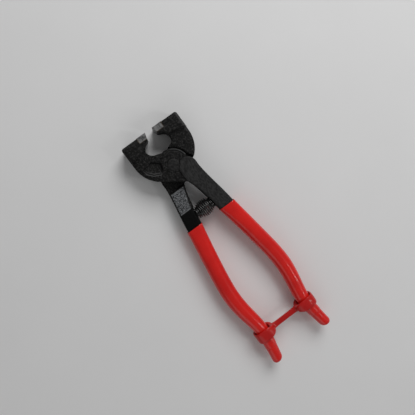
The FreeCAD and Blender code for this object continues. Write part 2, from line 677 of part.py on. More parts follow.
def write_piece(body):
    """Check a piece and write its file."""
    shape = body.Shape
    if shape.isNull() or not shape.isValid() or len(shape.Solids) != 1:
        raise RuntimeError(f"{body.Label} isn't one valid solid")
    shape.exportStep(os.path.join("parts", body.Label + ".step"))
    box = shape.optimalBoundingBox(False)
    print(f"{body.Label:18s} {shape.Volume:9.1f} mm3  x {box.XMin:7.2f} {box.XMax:7.2f}"
          f"  y {box.YMin:7.2f} {box.YMax:7.2f}  z {box.ZMin:6.2f} {box.ZMax:6.2f}")


def main():
    doc = FreeCAD.newDocument("mosaic_nippers")
    make_sheet(doc)
    pieces = []
    for half, arm_side, jaw_side, flipped in (
            ("upper_half", "right", "left", False), ("lower_half", "left", "right", True)):
        pieces.append(forged_half(doc, half, flipped))
        pieces.append(carbide_tip(doc, jaw_side + "_carbide_tip", flipped))
        pieces.append(braze_shim(doc, jaw_side + "_braze_shim", flipped))
        pieces.append(spring_peg(doc, arm_side + "_spring_peg", flipped))
        pieces.append(dipped_grip(doc, arm_side + "_grip", flipped))
    pieces += [pivot_rivet(doc), return_spring(doc), keeper_strap(doc)]
    doc.recompute()
    check_document(doc)
    os.makedirs("parts", exist_ok=True)
    for piece in pieces:
        write_piece(piece)


main()
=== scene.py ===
import math

import bmesh
import bpy
import numpy as np
from mathutils import Matrix, Vector, noise


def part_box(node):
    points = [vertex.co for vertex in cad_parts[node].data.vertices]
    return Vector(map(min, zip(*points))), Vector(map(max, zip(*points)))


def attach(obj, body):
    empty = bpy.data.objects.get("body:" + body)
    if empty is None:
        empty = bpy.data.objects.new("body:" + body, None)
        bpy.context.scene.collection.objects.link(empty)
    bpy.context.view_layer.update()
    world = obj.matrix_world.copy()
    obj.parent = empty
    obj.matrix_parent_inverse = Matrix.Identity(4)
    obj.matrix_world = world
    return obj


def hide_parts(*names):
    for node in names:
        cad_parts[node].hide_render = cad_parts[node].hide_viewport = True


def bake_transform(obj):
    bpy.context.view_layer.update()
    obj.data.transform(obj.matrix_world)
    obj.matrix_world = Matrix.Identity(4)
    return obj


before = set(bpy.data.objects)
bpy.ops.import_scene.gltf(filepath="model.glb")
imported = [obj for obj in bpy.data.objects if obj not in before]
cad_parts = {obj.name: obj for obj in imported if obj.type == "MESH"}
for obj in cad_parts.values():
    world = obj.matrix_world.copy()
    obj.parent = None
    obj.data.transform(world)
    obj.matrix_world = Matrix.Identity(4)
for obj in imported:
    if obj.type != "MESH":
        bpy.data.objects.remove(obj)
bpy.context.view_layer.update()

MM = 0.001
LOWER, UPPER = "lower_half", "upper_half"

# The pivot frame: rivet axis through 0,0 and the lap plane at z = 0, in millimetres.
# +Y runs to the jaws. Pieces of the lower half are the upper half's turned over about Y.
RIVET_LOW, RIVET_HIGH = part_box("pivot_rivet")
PIVOT = (RIVET_LOW + RIVET_HIGH) / 2


def turned_over(flipped):
    """What x and z are multiplied by to turn a piece over about Y."""
    return -1.0 if flipped else 1.0


def place(point, flipped=False):
    """A point of the pivot frame, in millimetres, as a point of the row frame, in metres."""
    x, y, z = point
    turn = turned_over(flipped)
    return PIVOT + Vector((turn * x, y, turn * z)) * MM


# ---------------------------------------------------------------- small mesh tools

def spline(knots, values):
    """A natural cubic curve through the values, as a function of one number."""
    knots, values = np.array(knots, float), np.array(values, float)
    count, gaps = len(knots), np.diff(knots)
    system, right = np.eye(count), np.zeros(count)
    for i in range(1, count - 1):
        system[i, i - 1:i + 2] = gaps[i - 1], 2 * (gaps[i - 1] + gaps[i]), gaps[i]
        right[i] = 6 * ((values[i + 1] - values[i]) / gaps[i]
                        - (values[i] - values[i - 1]) / gaps[i - 1])
    bend = np.linalg.solve(system, right)

    def at(where):
        i = int(np.clip(np.searchsorted(knots, where) - 1, 0, count - 2))
        gap, a, b = gaps[i], knots[i + 1] - where, where - knots[i]
        return ((bend[i] * a ** 3 + bend[i + 1] * b ** 3) / (6 * gap)
                + (values[i] / gap - bend[i] * gap / 6) * a
                + (values[i + 1] / gap - bend[i + 1] * gap / 6) * b)
    return at


def signed_power(value, power):
    """A sine or cosine raised to a power, with its sign kept: below 1 it squares a circle."""
    return math.copysign(abs(value) ** power, value)


def new_object(name, data):
    """A new object in the scene, with that mesh, camera or light."""
    obj = bpy.data.objects.new(name, data)
    bpy.context.scene.collection.objects.link(obj)
    return obj


def mesh_object(name, points, faces):
    """A new object from points in metres, with its faces turned outwards."""
    mesh = bpy.data.meshes.new(name)
    mesh.from_pydata([tuple(p) for p in points], [], faces)
    work = bmesh.new()
    work.from_mesh(mesh)
    bmesh.ops.recalc_face_normals(work, faces=work.faces)
    work.to_mesh(mesh)
    work.free()
    mesh.shade_smooth()
    return new_object(name, mesh)


def skin(rings, closed=False):
    """Points and faces of a skin over rings of equal size; open ends are capped."""
    size, points, faces = len(rings[0]), [p for ring in rings for p in ring], []
    spans = len(rings) if closed else len(rings) - 1
    for row in range(spans):
        here, there = row * size, ((row + 1) % len(rings)) * size
        for i in range(size):
            j = (i + 1) % size
            faces.append((here + i, here + j, there + j, there + i))
    if not closed:
        faces.append(tuple(range(size)))
        last = (len(rings) - 1) * size
        faces.append(tuple(last + i for i in range(size)))
    return points, faces


def lathe(profile, centre, axis, sides):
    """Rings about an axis: profile is (distance along, radius) pairs in millimetres."""
    turn = axis.to_track_quat("Z", "Y")
    rings = []
    for along, radius in profile:
        ring = []
        for i in range(sides):
            angle = 2 * math.pi * i / sides
            spoke = Vector((radius * math.cos(angle), radius * math.sin(angle), along))
            ring.append(centre + turn @ spoke * MM)
        rings.append(ring)
    return rings


def tube(points, radius, sides):
    """Rings of a round tube along an open line of points, all in metres."""
    rings, normal = [], None
    for i, point in enumerate(points):
        before, after = points[max(i - 1, 0)], points[min(i + 1, len(points) - 1)]
        way = (after - before).normalized()
        if normal is None:
            normal = way.orthogonal().normalized()
        normal = (normal - way * normal.dot(way)).normalized()
        side = way.cross(normal)
        rings.append([point + (normal * math.cos(a) + side * math.sin(a)) * radius
                      for a in (2 * math.pi * k / sides for k in range(sides))])
    return rings


def modify(obj, kind, **settings):
    """Add a modifier with the given settings."""
    modifier = obj.modifiers.new(kind.lower(), kind)
    for name, setting in settings.items():
        setattr(modifier, name, setting)


def settle(obj):
    """Turn the object's modifiers into its mesh."""
    bpy.context.view_layer.update()
    final = obj.evaluated_get(bpy.context.evaluated_depsgraph_get())
    mesh = bpy.data.meshes.new_from_object(final)
    obj.modifiers.clear()
    obj.data = mesh
    mesh.shade_smooth()


def soften(obj, voxel_mm, passes):
    """Remesh to one skin of small voxels, and smooth it over its edges."""
    modify(obj, "REMESH", mode="VOXEL", voxel_size=voxel_mm * MM, adaptivity=0.0)
    modify(obj, "SMOOTH", factor=0.5, iterations=passes)
    settle(obj)


def join(name, objects):
    """Several meshes as one new object."""
    work = bmesh.new()
    for obj in objects:
        work.from_mesh(obj.data)
        bpy.data.objects.remove(obj)
    mesh = bpy.data.meshes.new(name)
    work.to_mesh(mesh)
    work.free()
    mesh.shade_smooth()
    return new_object(name, mesh)


def cad_copy(node, name):
    """A new object with a copy of a CAD node's mesh, its doubled points joined."""
    work = bmesh.new()
    work.from_mesh(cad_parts[node].data)
    bmesh.ops.remove_doubles(work, verts=work.verts, dist=1e-6)
    mesh = bpy.data.meshes.new(name)
    work.to_mesh(mesh)
    work.free()
    return new_object(name, mesh)


def finish_piece(obj, material, node, body):
    """Give a piece its material, and put it in its CAD node's place."""
    obj.data.materials.clear()
    obj.data.materials.append(material)
    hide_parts(node)
    if body:
        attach(obj, body)


# ---------------------------------------------------------------- measures of the forging
# Pivot frame, millimetres. A pair of near values is where a soft step starts and ends.

PAD_FRONT, PAD_BACK = -15.0, -30.9     # the ground pad along the arm
PAD_INNER, PAD_LEAN = 2.7, 0.33        # its inner side at the front, and how that side leans out
PAD_RISE = 0.14                        # how far it stands above the forging's skin

PANEL = [(-18.6, 9.2), (-18.1, 5.2), (-15.0, 1.6), (-10.4, -0.6), (-7.6, 2.0), (-6.5, 5.8), (-10.9, 9.9)]
PANEL_DEEP, PANEL_FALL = (-8.7, 7.9), (0.6, 0.8)    # its deep side, and the way it gets shallower
PANEL_FLOOR_RISE = 0.5                 # how far its floor comes up on the way
RIM_RISE, RIM_WIDTH = 0.22, 0.45       # the ridge that stands round the panel
STEP_IN = 1.4                          # from the panel's outline to its second line of painted highlight

GROOVE_RADIUS, GROOVE_DEPTH, GROOVE_WIDTH = 9.75, 0.3, 0.4     # round the open quarter of the lap
RIM_START = (10.2, 10.5)               # the lap's rim, with its painted highlight, lies outside this radius

ARM_START = (1.0, -0.6)                # where the arm's smooth outer face begins
ARM_PROUD = (6.65, 7.0)                # beside the lap, only what stands this high is arm
ARM_ALONE = (-16.0, -17.0)             # behind the lap, all of it is

FORGING_VOXEL, KEPT_FACES = 0.30, 0.42     # the second is the share left after thinning out
SCALE_RISE = 0.06                      # the skin sinks by about this much, and unevenly


# ---------------------------------------------------------------- materials

class Shader:
    """A principled material with a few short ways to wire its nodes."""

    def __init__(self, name, **values):
        self.material = bpy.data.materials.new(name)
        self.material.use_nodes = True
        self.tree = self.material.node_tree
        self.body = self.tree.nodes["Principled BSDF"]
        for label, value in values.items():
            self.body.inputs[label.replace("_", " ")].default_value = value
        self.place = self.add("ShaderNodeTexCoord").outputs["Object"]

    def add(self, kind, **settings):
        node = self.tree.nodes.new(kind)
        for name, setting in settings.items():
            setattr(node, name, setting)
        return node

    def link(self, source, target):
        """Wire a socket to another, or set it to a plain value."""
        if isinstance(source, (int, float, tuple)):
            target.default_value = source
        else:
            self.tree.links.new(source, target)

    def set(self, label, source):
        self.link(source, self.body.inputs[label])

    def noise(self, size_mm, detail=4.0, roughness=0.55, squeeze=(1, 1, 1), turn=0.0):
        """Noise with features of about that size; squeeze makes them finer along an axis."""
        mapping = self.add("ShaderNodeMapping")
        mapping.inputs["Scale"].default_value = squeeze
        mapping.inputs["Rotation"].default_value = (0, 0, turn)
        self.link(self.place, mapping.inputs["Vector"])
        node = self.add("ShaderNodeTexNoise")
        node.inputs["Scale"].default_value = 1.0 / (size_mm * MM)
        node.inputs["Detail"].default_value = detail
        node.inputs["Roughness"].default_value = roughness
        self.link(mapping.outputs["Vector"], node.inputs["Vector"])
        return node.outputs["Fac"]

    def calc(self, operation, first, second=0.0):
        node = self.add("ShaderNodeMath", operation=operation)
        self.link(first, node.inputs[0])
        self.link(second, node.inputs[1])
        return node.outputs[0]

    def times(self, first, second):
        return self.calc("MULTIPLY", first, second)

    def minus(self, first, second):
        return self.calc("SUBTRACT", first, second)

    def most(self, first, second):
        return self.calc("MAXIMUM", first, second)

    def ramp(self, source, low, high, bottom=0.0, top=1.0):
        """A smooth step from bottom to top as source goes from low to high."""
        node = self.add("ShaderNodeMapRange", interpolation_type="SMOOTHSTEP")
        self.link(source, node.inputs["Value"])
        node.inputs["From Min"].default_value = low
        node.inputs["From Max"].default_value = high
        node.inputs["To Min"].default_value = bottom
        node.inputs["To Max"].default_value = top
        return node.outputs["Result"]

    def mix(self, factor, first, second):
        """The first colour where factor is 0, the second where it is 1."""
        node = self.add("ShaderNodeMix", data_type="RGBA")
        self.link(factor, node.inputs["Factor"])
        self.link(first, node.inputs["A"])
        self.link(second, node.inputs["B"])
        return node.outputs["Result"]

    def bump(self, height, distance_mm, strength, after=None):
        """A normal that height tilts, on top of an earlier bump if one is given."""
        node = self.add("ShaderNodeBump")
        node.inputs["Distance"].default_value = distance_mm * MM
        node.inputs["Strength"].default_value = strength
        self.link(height, node.inputs["Height"])
        if after:
            self.link(after, node.inputs["Normal"])
        return node.outputs["Normal"]

    def attribute(self, name):
        """A field that the mesh carries."""
        return self.add("ShaderNodeAttribute", attribute_name=name).outputs["Fac"]

    def axis(self, name, turn=1.0):
        """One coordinate of the pivot frame, in millimetres; turn is -1 where it is turned over."""
        node = self.add("ShaderNodeSeparateXYZ")
        self.link(self.place, node.inputs[0])
        middle = getattr(PIVOT, name.lower())
        return self.times(self.minus(node.outputs[name], middle), turn / MM)

    def facing(self, turn):
        """How squarely the surface faces the half's own top: 1 on it, -1 on its underside."""
        node = self.add("ShaderNodeSeparateXYZ")
        self.link(self.add("ShaderNodeTexCoord").outputs["Normal"], node.inputs[0])
        return self.times(node.outputs["Z"], turn)


def grey(level, warm=0.0):
    """A grey, or a slightly brown one."""
    return (level * (1 + warm), level, level * (1 - warm), 1.0)


# Painted shade for corners, hollows and shadowed walls, painted highlight for lit lines and bevels, and
# the bright of rubbed edges.
PAINTED_SHADE_GREY, PAINTED_HIGHLIGHT_GREY, BRIGHT_EDGE = grey(0.0015), grey(0.085), grey(0.10)
GRIP_RED, GRIP_SHADE = (0.72, 0.014, 0.010, 1), (0.62, 0.010, 0.008, 1)
STRAP_RED, STRAP_SHADE = (0.52, 0.012, 0.011, 1), (0.42, 0.009, 0.009, 1)


def scaly_black(shader, scale):
    """The forging's skin: soft blotches under lighter flecks and lumps of scale."""
    blotch = shader.ramp(shader.noise(7.0, detail=5.0), 0.35, 0.7)
    flecks = shader.ramp(shader.noise(1.0, detail=2.0), 0.48, 0.68)
    lumps = shader.ramp(scale, 0.48, 0.68, top=0.55)
    black = shader.mix(blotch, grey(0.003), grey(0.009, warm=0.03))
    black = shader.mix(flecks, black, grey(0.032, warm=0.02))
    return shader.mix(lumps, black, grey(0.024, warm=0.02))


def arm_face(shader, facing, y, z):
    """Where the arm's outer face is: it is finished smoother and reads a little lighter."""
    outer = shader.times(shader.ramp(facing, 0.55, 0.85), shader.ramp(y, *ARM_START))
    return shader.times(outer, shader.most(shader.ramp(z, *ARM_PROUD), shader.ramp(y, *ARM_ALONE)))


def smooth_black(shader):
    """A fine grain that runs along the arm."""
    grain = shader.noise(1.5, detail=3.0, squeeze=(2.2, 0.7, 1.0), turn=-0.15)
    return shader.mix(shader.ramp(grain, 0.36, 0.64), grey(0.016), grey(0.036))


def pad_face(shader, facing, x, y):
    """Where the ground pad is, on the arm's inner face; its inner side leans out."""
    soft_end, soft_side = 0.3, 0.25
    ends = shader.times(shader.ramp(y, PAD_BACK, PAD_BACK + soft_end),
                        shader.ramp(y, PAD_FRONT, PAD_FRONT - soft_end))
    inner_side = shader.minus(PAD_INNER + PAD_LEAN * PAD_FRONT, shader.times(y, PAD_LEAN))
    inside = shader.ramp(shader.minus(x, inner_side), 0.0, soft_side)
    return shader.times(shader.times(shader.ramp(facing, -0.9, -0.985), ends), inside)


def bare_steel(shader, y):
    """Coarse grinding strokes that cross the arm, with a painted highlight along the pad's two lips."""
    strokes = shader.noise(0.8, detail=5.0, roughness=0.7, squeeze=(0.6, 1.7, 1.0), turn=0.75)
    dark, bright = (0.008, 0.009, 0.010, 1), (0.200, 0.206, 0.215, 1)
    ground = shader.mix(shader.ramp(strokes, 0.42, 0.60), dark, bright)
    # A painted highlight along the pad's front and back lips.
    lip_highlight = shader.most(shader.ramp(y, PAD_FRONT - 0.8, PAD_FRONT - 0.4),
                       shader.ramp(y, PAD_BACK + 0.9, PAD_BACK + 0.4))
    return shader.mix(shader.times(lip_highlight, 0.7), ground, (0.19, 0.195, 0.20, 1))


def painted_shade_and_highlight(shader, x, y):
    """Painted shade and painted highlights: shadow along the panel's deep wall and in the lap's groove,
    highlights on the panel's lines, the lap's rim and the jaw's front.
    """
    edge_of_panel, lap = shader.attribute("panel_edge"), shader.attribute("lap_painted_light")
    first = shader.calc("ABSOLUTE", edge_of_panel)
    second = shader.calc("ABSOLUTE", shader.minus(edge_of_panel, STEP_IN))
    radius = shader.calc("SQRT", shader.calc("ADD", shader.times(x, x), shader.times(y, y)))
    groove = shader.calc("ABSOLUTE", shader.minus(radius, GROOVE_RADIUS))

    # Painted shadow along the panel's deep wall, and painted shade in the lap's groove.
    panel_painted_shadow = shader.times(shader.ramp(first, 1.0, 0.35), shader.attribute("panel_painted_shadow"))
    painted_shade = shader.most(panel_painted_shadow, shader.times(shader.ramp(groove, 0.8, 0.35), lap))

    # Painted highlights on the panel's two lit lines, the lap rim's bevel and the jaw front's chamfer.
    ridges = shader.most(shader.ramp(first, 0.5, 0.15), shader.ramp(second, 0.55, 0.15))
    rim = shader.times(shader.ramp(radius, *RIM_START), lap)
    painted_highlight = shader.times(ridges, shader.attribute("panel_painted_highlight"))
    painted_highlight = shader.most(painted_highlight, shader.times(rim, 0.6))
    painted_highlight = shader.most(painted_highlight, shader.times(shader.attribute("front_painted_highlight"), 0.4))
    return painted_shade, painted_highlight


def forged_steel(name, flipped):
    """Blacked forging: scaly and mottled, a smooth arm, a ground pad, worn edges, painted shade in
    corners and hollows, painted highlights on lit lines and bevels.
    """
    shader = Shader(name, Metallic=0.0, Specular_IOR_Level=0.10)
    turn = turned_over(flipped)
    x, y, z = shader.axis("X", turn), shader.axis("Y"), shader.axis("Z", turn)
    facing = shader.facing(turn)
    scale = shader.noise(1.3, detail=6.0, roughness=0.7)
    arm = arm_face(shader, facing, y, z)
    colour = shader.mix(arm, scaly_black(shader, scale), smooth_black(shader))

    # Behind the pad the inner face stays plain black.
    plain = shader.times(shader.ramp(facing, -0.5, -0.8), shader.ramp(y, PAD_BACK + 0.4, PAD_BACK))
    colour = shader.mix(plain, colour, grey(0.0012))
    colour = shader.mix(pad_face(shader, facing, x, y), colour, bare_steel(shader, y))

    # Painted shade darkens the corners and hollows, and edges rub bright in patches.
    point = shader.add("ShaderNodeNewGeometry").outputs["Pointiness"]
    colour = shader.mix(shader.ramp(point, 0.49, 0.44, top=0.8), colour, PAINTED_SHADE_GREY)
    # Painted shadow along the panel's wall and in the groove, then painted highlights on lit lines, the
    # lap's rim and the jaw's front.
    painted_shade, painted_highlight = painted_shade_and_highlight(shader, x, y)
    colour = shader.mix(shader.times(painted_shade, 0.9), colour, PAINTED_SHADE_GREY)
    colour = shader.mix(shader.times(painted_highlight, 0.8), colour, PAINTED_HIGHLIGHT_GREY)
    patches = shader.ramp(shader.noise(2.5), 0.42, 0.62)
    edge = shader.times(shader.ramp(point, 0.53, 0.60), patches)
    shader.set("Base Color", shader.mix(shader.times(edge, 0.45), colour, BRIGHT_EDGE))

    rough = shader.ramp(scale, 0.3, 0.8, bottom=0.42, top=0.66)
    shader.set("Roughness", shader.minus(rough, shader.times(edge, 0.12)))
    relief = shader.times(scale, shader.minus(1.0, shader.times(arm, 0.8)))
    coarse = shader.bump(shader.noise(2.6, detail=5.0), 0.12, 0.6)
    shader.set("Normal", shader.bump(relief, 0.16, 0.9, after=coarse))
    return shader.material


def carbide():
    """Ground tungsten carbide with fine grinding lines and darker stains."""
    shader = Shader("carbide", Metallic=0.6)
    lines = shader.noise(0.5, detail=6.0, squeeze=(1.0, 9.0, 0.6), turn=0.25)
    stains = shader.ramp(shader.noise(3.2, detail=6.0, roughness=0.7), 0.36, 0.58)
    ground = shader.mix(lines, grey(0.14), grey(0.34))
    shader.set("Base Color", shader.mix(stains, grey(0.07), ground))
    shader.set("Roughness", shader.ramp(lines, 0.2, 0.8, bottom=0.34, top=0.52))
    shader.set("Normal", shader.bump(lines, 0.02, 0.6))
    return shader.material


def braze():
    """Dull brass-coloured braze with flux stains."""
    shader = Shader("braze", Metallic=0.9)
    stain = shader.noise(0.8, detail=5.0)
    alloy, flux = (0.13, 0.10, 0.07, 1), (0.04, 0.032, 0.025, 1)
    shader.set("Base Color", shader.mix(shader.ramp(stain, 0.4, 0.7), alloy, flux))
    shader.set("Roughness", shader.ramp(stain, 0.2, 0.8, bottom=0.32, top=0.6))
    shader.set("Normal", shader.bump(stain, 0.05, 0.6))
    return shader.material


def blacked_steel(name, level, rough, pits_mm, oil=0.0):
    """Peened or drawn steel, blacked: mottled, pitted, and under a film of oil if it has one."""
    shader = Shader(name, Metallic=0.2, Specular_IOR_Level=0.35, Coat_Weight=oil,
                    Coat_Roughness=0.12, Coat_IOR=1.5)
    wear = shader.noise(1.1, detail=5.0, roughness=0.65)
    fine = shader.noise(0.25, detail=3.0)
    dark, rubbed = grey(level * 0.5), grey(level * 2.8, warm=0.03)
    shader.set("Base Color", shader.mix(shader.ramp(wear, 0.42, 0.64), dark, rubbed))
    shader.set("Roughness", shader.ramp(fine, 0.3, 0.7, bottom=rough - 0.07, top=rough + 0.1))
    pits = shader.bump(wear, pits_mm, 0.8)
    shader.set("Normal", shader.bump(fine, 0.015, 0.6, after=pits))
    return shader.material


def vinyl(name, colour, shade, rough, coat):
    """Dipped or moulded vinyl: deep colour, a wet gloss, a soft uneven skin."""
    shader = Shader(name, Metallic=0.0, Specular_IOR_Level=0.2, IOR=1.45, Coat_Weight=coat,
                    Coat_Roughness=0.05, Coat_IOR=1.45, Subsurface_Weight=0.06,
                    Subsurface_Scale=0.002, Subsurface_Radius=(1.0, 0.12, 0.08))
    cloud = shader.ramp(shader.noise(14.0, detail=3.0), 0.3, 0.75)
    shader.set("Base Color", shader.mix(cloud, colour, shade))
    dust = shader.noise(0.6, detail=5.0)
    shader.set("Roughness", shader.ramp(dust, 0.35, 0.75, bottom=rough, top=rough + 0.10))
    waves = shader.bump(shader.noise(9.0, detail=1.0), 0.04, 0.3)
    shader.set("Normal", shader.bump(shader.noise(0.5, detail=2.0), 0.002, 0.3, after=waves))
    return shader.material


def floor_finish():
    """Plain pale board."""
    shader = Shader("floor", Roughness=0.85, Specular_IOR_Level=0.2)
    shader.set("Base Color", shader.mix(shader.noise(60.0), grey(0.79), grey(0.83)))
    return shader.material


# ---------------------------------------------------------------- forged halves

def step(value, low, high):
    """0 below low, 1 above high, smooth between."""
    t = np.clip((value - low) / (high - low), 0, 1)
    return t * t * (3 - 2 * t)


def distance_to_outline(x, y, outline):
    """How far points are from a convex outline that runs anticlockwise, less than 0 outside it."""
    best, within = np.full(len(x), np.inf), np.full(len(x), True)
    for (ax, ay), (bx, by) in zip(outline, outline[1:] + outline[:1]):
        dx, dy = bx - ax, by - ay
        t = np.clip(((x - ax) * dx + (y - ay) * dy) / (dx * dx + dy * dy), 0, 1)
        best = np.minimum(best, np.hypot(x - ax - t * dx, y - ay - t * dy))
        within &= dx * (y - ay) - dy * (x - ax) > 0
    return np.where(within, best, -best)


def points_of(mesh, flipped):
    """A mesh's points and normals, its pivot-frame points, and how squarely each faces out."""
    count = len(mesh.vertices)
    co, normals = np.zeros(count * 3), np.zeros(count * 3)
    mesh.vertices.foreach_get("co", co)
    mesh.vertices.foreach_get("normal", normals)
    co, normals = co.reshape(-1, 3), normals.reshape(-1, 3)
    turn = turned_over(flipped)
    local = (co - np.array(PIVOT)) / MM * np.array([turn, 1.0, turn])
    return co, normals, local, normals[:, 2] * turn


def lap_share(local, facing):
    """1 on the open quarter of the lap's face, where the groove runs with painted shade and the rim has
    a painted highlight, 0 elsewhere.
    """
    x, y, z = local.T
    return step(facing, 0.3, 0.6) * step(z, 4.0, 4.6) * step(x, 2.0, 5.0) * step(y, 0.6, 2.0)


def from_deep_side(local):
    """How far points are from the panel's deep side, the way it gets shallower."""
    return (np.array(PANEL_DEEP) - local[:, :2]) @ np.array(PANEL_FALL)


def panel_rise(local, facing):
    """The ridge that stands round the panel, and the panel's floor, which slopes up."""
    x, y, z = local.T
    ridge = RIM_RISE * np.exp(-(distance_to_outline(x, y, PANEL) / RIM_WIDTH) ** 2)
    ridge *= step(facing, 0.6, 0.9) * step(z, 5.9, 6.3) * step(y, -3.0, 0.0) * step(-x, 6.0, 8.0)
    floor = step(facing, 0.7, 0.95) * step(5.95 - z, 0.0, 0.1) * step(z, 5.4, 5.6) * step(-x, 5.5, 6.0)
    slope = step(from_deep_side(local), 1.0, 10.0)
    return ridge + floor * step(y, -2.5, -1.5) * PANEL_FLOOR_RISE * slope


def groove_share(local, facing):
    """1 in the bottom of the groove round the lap."""
    x, y, _ = local.T
    off_line = (np.hypot(x, y) - GROOVE_RADIUS) / GROOVE_WIDTH
    return np.exp(-off_line ** 2) * lap_share(local, facing)


def pad_share(local, facing):
    """1 on the ground pad, with soft sides."""
    x, y, _ = local.T
    soft = 0.4
    share = step(-facing, 0.9, 0.98) * step(y, PAD_BACK, PAD_BACK + soft)
    share *= step(-y, -PAD_FRONT, soft - PAD_FRONT)
    return share * step(x - PAD_INNER + (y - PAD_FRONT) * PAD_LEAN, 0.0, soft)


def lumps(point):
    """Uneven scale, from about -1.5 to 1.5."""
    point = Vector(point)
    return noise.noise(point * 0.55) + 0.5 * noise.noise(point * 1.6)


def field(mesh, name, values):
    """A number for each point, for the shader to read."""
    layer = mesh.attributes.new(name, "FLOAT", "POINT")
    layer.data.foreach_set("value", values.astype(np.float32))


def painted_light_fields(mesh, flipped):
    """Fields for the shader: how near the panel's outline, and where shadow and highlights are painted.
    """
    _, _, local, facing = points_of(mesh, flipped)
    x, y, z = local.T
    on_face = step(facing, 0.2, 0.6) * step(z, 5.0, 5.6) * step(-x, 5.0, 5.6) * step(y, -2.6, -1.4)
    away = from_deep_side(local)
    field(mesh, "panel_edge", distance_to_outline(x, y, PANEL))
    # Painted shadow along the panel's deep wall, and painted highlights on its lit lines.
    field(mesh, "panel_painted_shadow", on_face * step(-away, -7.0, -4.5) * step(x, -14.0, -11.5))
    field(mesh, "panel_painted_highlight", on_face * step(away, 5.5, 8.0))
    # Painted highlight on the jaw front's outer chamfer.
    field(mesh, "front_painted_highlight", step(-facing, 0.1, 0.4) * step(-x, 20.0, 20.8) * step(y, 11.0, 14.0))
    # The lap's share: painted shade in its groove and a painted highlight on its rim.
    field(mesh, "lap_painted_light", lap_share(local, facing))


def forged_half(half, flipped):
    """The CAD half with softened edges, a scaly skin, a rimmed panel, a groove and a pad."""
    obj = cad_copy(half, half + "_forging")
    soften(obj, FORGING_VOXEL, 5)
    mesh = obj.data
    co, normals, local, facing = points_of(mesh, flipped)
    rise = panel_rise(local, facing)
    rise -= GROOVE_DEPTH * groove_share(local, facing)
    pad = pad_share(local, facing)
    scale = np.array([lumps(point) for point in local]) - 1.0
    rise += PAD_RISE * pad + SCALE_RISE * scale * (1 - pad)
    co += normals * (rise * MM)[:, None]
    mesh.vertices.foreach_set("co", co.ravel())
    modify(obj, "DECIMATE", ratio=KEPT_FACES)
    settle(obj)
    painted_light_fields(obj.data, flipped)
    finish_piece(obj, forged_steel(half + "_steel", flipped), half, half)


# ---------------------------------------------------------------- carbide, braze, rivet, pegs

def carbide_tip(side, body, finish):
    """The CAD insert with its sharp edges ground off."""
    node = side + "_carbide_tip"
    obj = cad_copy(node, node + "_ground")
    modify(obj, "BEVEL", width=0.14 * MM, segments=3, limit_method="ANGLE",
           angle_limit=math.radians(25))
    settle(obj)
    obj.data.shade_flat()
    finish_piece(obj, finish, node, body)


def braze_seam(side, body, finish):
    """The thin shim, with the bead that squeezes out along its top and bottom."""
    node = side + "_braze_shim"
    low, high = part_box(node)
    towards = 1.0 if side == "left" else -1.0
    outer, inner = (low.x, high.x) if side == "left" else (high.x, low.x)
    middle, short_of_end, bead_radius, points_a_run = 0.10 * MM, 0.2 * MM, 0.24 * MM, 12
    corner = Vector((outer + towards * middle, low.y + middle, 0))
    front = Vector((corner.x, high.y - 0.15 * MM, 0))
    tip = Vector((inner - towards * short_of_end, corner.y, 0))
    beads = [cad_copy(node, node + "_core")]
    for z in (low.z, high.z):
        line = [front.lerp(corner, i / points_a_run) for i in range(points_a_run)]
        line += [corner.lerp(tip, i / points_a_run) for i in range(points_a_run + 1)]
        line = [point + Vector((0, 0, z)) for point in line]
        beads.append(mesh_object(f"bead_{side}_{z:.4f}", *skin(tube(line, bead_radius, 10))))
    obj = join(node + "_bead", beads)
    finish_piece(obj, finish, node, body)


def rivet(finish):
    """Rivet with domed, slightly peened heads."""
    shank, head, lap = 3.45, 4.18, 6.5         # two radii, and the lap's face from the middle
    sink, dome, rim, flat = 1.2, 0.24, 0.05, 0.15
    rise = [(lap - sink, shank), (lap - 0.06, head - 0.02), (lap + 0.04, head)]
    for number in range(1, 9):
        angle = math.radians(11.2 * number)
        height = lap + rim + (dome - rim) * math.sin(angle)
        rise.append((height, flat + (head - flat) * math.cos(angle)))
    profile = [(-along, radius) for along, radius in reversed(rise)] + rise
    rings = lathe(profile, PIVOT, Vector((0, 0, 1)), sides=72)
    obj = mesh_object("rivet_peened", *skin(rings))
    for vertex in obj.data.vertices:
        local = (vertex.co - PIVOT) / MM
        if abs(local.z) > lap:
            vertex.co.z += 0.03 * MM * noise.noise(local * 0.9) * math.copysign(1, local.z)
    finish_piece(obj, finish, "pivot_rivet", LOWER)


def spring_peg(side, body, finish):
    """A pin with a rounded end, standing out of the arm."""
    node = side + "_spring_peg"
    low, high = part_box(node)
    inward = 1.0 if side == "left" else -1.0
    root = low.x if side == "left" else high.x
    base = Vector((root, (low.y + high.y) / 2, (low.z + high.z) / 2))
    length, radius = (high.x - low.x) / MM, (high.y - low.y) / 2 / MM
    bevel, nose = 0.3, 0.9
    profile = [(0, radius - bevel), (bevel, radius), (length - nose, radius)]
    for i in range(1, 7):
        angle = math.radians(14.5 * i)
        along = length - nose + nose * math.sin(angle)
        profile.append((along, radius - nose + nose * math.cos(angle)))
    rings = lathe(profile, base, Vector((inward, 0, 0)), sides=40)
    obj = mesh_object(node + "_pin", *skin(rings))
    finish_piece(obj, finish, node, body)


# ---------------------------------------------------------------- spring

